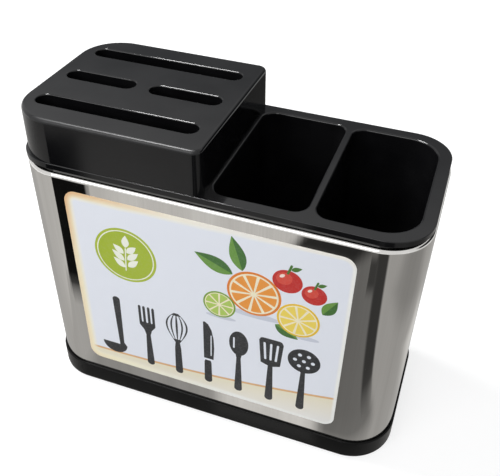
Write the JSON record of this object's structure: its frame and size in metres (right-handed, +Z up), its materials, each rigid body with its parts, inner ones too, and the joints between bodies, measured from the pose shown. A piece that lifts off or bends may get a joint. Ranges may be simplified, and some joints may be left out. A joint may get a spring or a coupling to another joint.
{
  "type": "cutlery holder",
  "caption": "Free-standing cutlery holder: a polished steel sleeve in a black drip base, with open compartments, a slotted knife block and a pull-out drain spout.",
  "frame": {"origin": "under the middle of the plan, on the surface that the feet stand on", "axes": "+X along the length away from the knife block, +Y from the labelled front to the back, +Z up"},
  "size_m": [0.253, 0.121, 0.216],
  "materials": {
    "base_plastic": "black moulded polypropylene, smooth",
    "top_plastic": "black moulded polypropylene, satin on its upper faces",
    "stainless": "polished stainless sheet, near-mirror",
    "label_paper": "coated adhesive paper, printed",
    "foot_rubber": "soft black rubber"
  },
  "bodies": {
    "base": {"base_tray": "base_plastic", "foot_front_left": "foot_rubber", "foot_front_right": "foot_rubber", "foot_rear_left": "foot_rubber", "foot_rear_right": "foot_rubber"},
    "spout": {"drain_spout": "base_plastic"},
    "sleeve": {"steel_sleeve": "stainless", "front_label": "label_paper"},
    "insert": {"cutlery_insert": "top_plastic"},
    "block": {"knife_block": "top_plastic"}
  },
  "joints": [
    {"name": "spout_pull", "type": "slide", "parent": "base", "child": "spout", "axis": [-1, 0, 0], "range_m": [0, 0.024]},
    {"name": "sleeve_lift", "type": "slide", "parent": "base", "child": "sleeve", "axis": [0, 0, 1], "range_m": [0, 0.06]},
    {"name": "insert_lift", "type": "slide", "parent": "sleeve", "child": "insert", "axis": [0, 0, 1], "range_m": [0, 0.17]},
    {"name": "block_lift", "type": "slide", "parent": "insert", "child": "block", "axis": [0, 0, 1], "range_m": [0, 0.05]}
  ]
}
